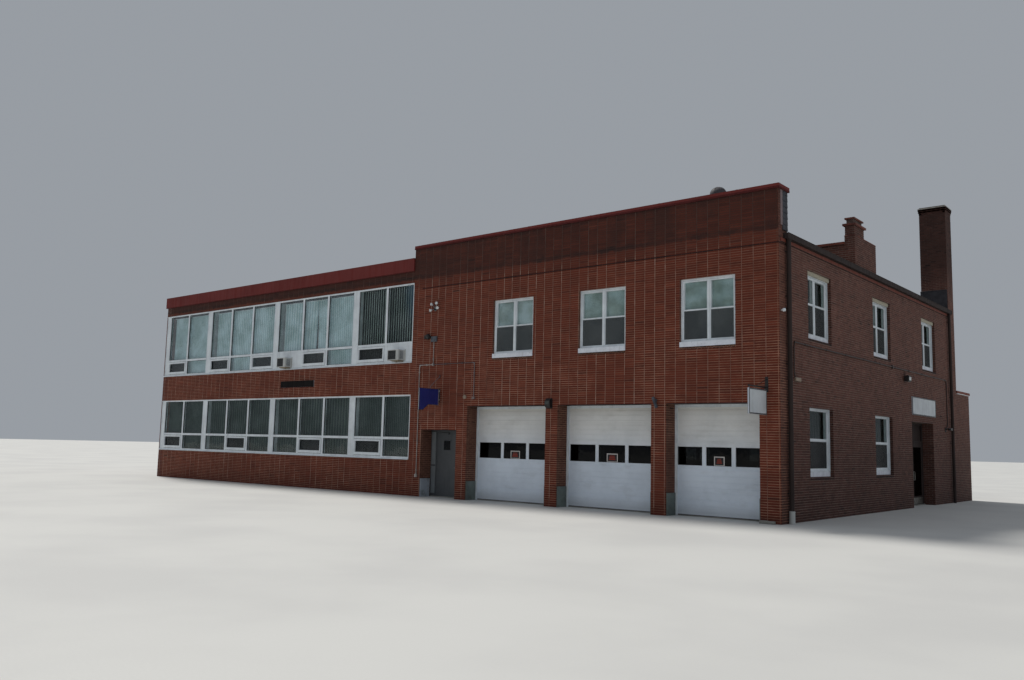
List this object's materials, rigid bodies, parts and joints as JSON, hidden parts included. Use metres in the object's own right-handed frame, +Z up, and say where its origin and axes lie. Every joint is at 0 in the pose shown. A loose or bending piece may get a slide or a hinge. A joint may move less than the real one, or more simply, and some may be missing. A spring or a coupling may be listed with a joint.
{
  "type": "town hall building",
  "caption": "Flat-roofed two-storey brick town hall with vehicle bays in its tall front block and an office wing with ribbon windows.",
  "frame": {"origin": "centre of the building's bounding box at ground level", "axes": "+X along the front, from the office wing towards the vehicle bays; +Y from the front to the back; +Z up"},
  "size_m": [30.99, 20.385, 12],
  "materials": {
    "brick_front": "wire-cut red face brick, flush pale joints",
    "brick_side": "brown-red common brick in running bond",
    "concrete": "cast concrete, weathered",
    "white_frame": "white enamel, semi-gloss",
    "white_door": "white enamel on ribbed steel",
    "grey_steel": "grey paint, satin",
    "dark_metal": "dark brown enamel, satin",
    "maroon_metal": "dark red enamel, satin",
    "rust_metal": "rust-red paint, weathered",
    "slate_cladding": "blue-grey sheet, satin",
    "roof_membrane": "black roofing, matt",
    "galvanised_metal": "galvanised",
    "steel_conduit": "galvanised tube",
    "sign_board": "plain enamel board",
    "lamp_housing": "enamelled housing",
    "window_glass": "clear float glass"
  },
  "bodies": {
    "building": {"annex_roof": "roof_membrane", "annex_walls": "brick_side", "blank_signs": "sign_board", "conduits": "steel_conduit", "corner_chimney": "brick_side", "downspouts": "dark_metal", "eave_board": "rust_metal", "entry_door_frame": "grey_steel", "entry_head_wall": "brick_front", "floor_slab": "concrete", "front_parapet": "brick_front", "front_piers": "brick_front", "front_upper_wall": "brick_front", "front_window_frames": "white_frame", "left_rear_wall": "brick_side", "lower_ribbon_frame": "white_frame", "main_coping": "maroon_metal", "main_roof": "roof_membrane", "parapet_end_cladding": "slate_cladding", "pier_bumpers": "concrete", "rear_ribbon_frames": "white_frame", "rear_wall": "brick_side", "rear_window_frames": "white_frame", "red_copings": "rust_metal", "ribbon_glass": "window_glass", "roof_chimney": "brick_side", "roof_level_walls": "brick_side", "roof_vent": "galvanised_metal", "side_door_frame": "dark_metal", "side_gutter": "dark_metal", "side_lower_wall": "brick_side", "side_upper_wall": "brick_side", "side_window_frames": "white_frame", "upper_floor": "concrete", "upper_ribbon_frame": "white_frame", "vehicle_door_trim": "white_frame", "vehicle_doors": "white_door", "wall_lights": "lamp_housing", "window_air_conditioners": "lamp_housing", "window_glass": "window_glass", "window_sills_and_lintels": "white_frame", "wing_columns": "concrete", "wing_end_wall": "brick_side", "wing_fascia": "maroon_metal", "wing_front_wall": "brick_front", "wing_rear_wall": "brick_side", "wing_roof": "roof_membrane"},
    "entry_door": {"entry_door_leaf": "grey_steel"},
    "side_door_front": {"side_door_leaf_front": "dark_metal"},
    "side_door_rear": {"side_door_leaf_rear": "dark_metal"}
  },
  "joints": [
    {"name": "entry_door_hinge", "type": "hinge", "parent": "building", "child": "entry_door", "pos_m": [2.472, -8.5705, 1.2], "axis": [0, 0, -1], "range_deg": [0, 95]},
    {"name": "side_door_front_hinge", "type": "hinge", "parent": "building", "child": "side_door_front", "pos_m": [14.903, 2.1845, 1.2], "axis": [0, 0, -1], "range_deg": [0, 95]},
    {"name": "side_door_rear_hinge", "type": "hinge", "parent": "building", "child": "side_door_rear", "pos_m": [14.903, 4.6505, 1.2], "axis": [0, 0, 1], "range_deg": [0, 95]}
  ]
}
